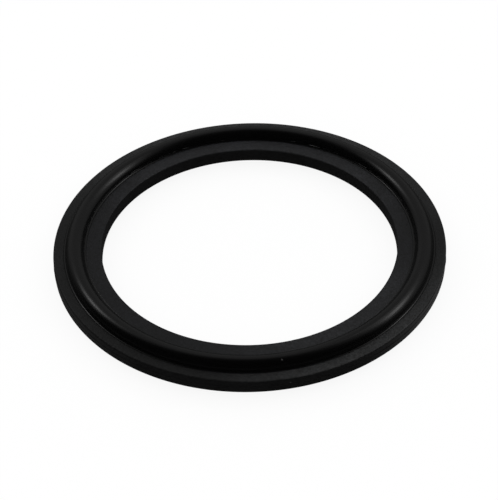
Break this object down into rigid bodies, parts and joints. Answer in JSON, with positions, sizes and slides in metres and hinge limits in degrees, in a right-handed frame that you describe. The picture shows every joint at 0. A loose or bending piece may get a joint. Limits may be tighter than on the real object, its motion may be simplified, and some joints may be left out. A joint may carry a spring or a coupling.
{
  "type": "sanitary clamp gasket",
  "caption": "Flat black rubber ring with a half-round bead on each face, which seals two clamp ferrules around the bore of a sanitary tube.",
  "frame": {"origin": "centre of the bore, half way between the two flat faces", "axes": "+Z along the bore, out of the upper face; X and Y in the middle plane of the ring, which is the same in every direction around the bore"},
  "size_m": [0.0636, 0.0636, 0.0054],
  "materials": {
    "moulded_rubber": "satin moulded black rubber"
  },
  "bodies": {
    "root": {"gasket_ring": "moulded_rubber"}
  },
  "joints": []
}
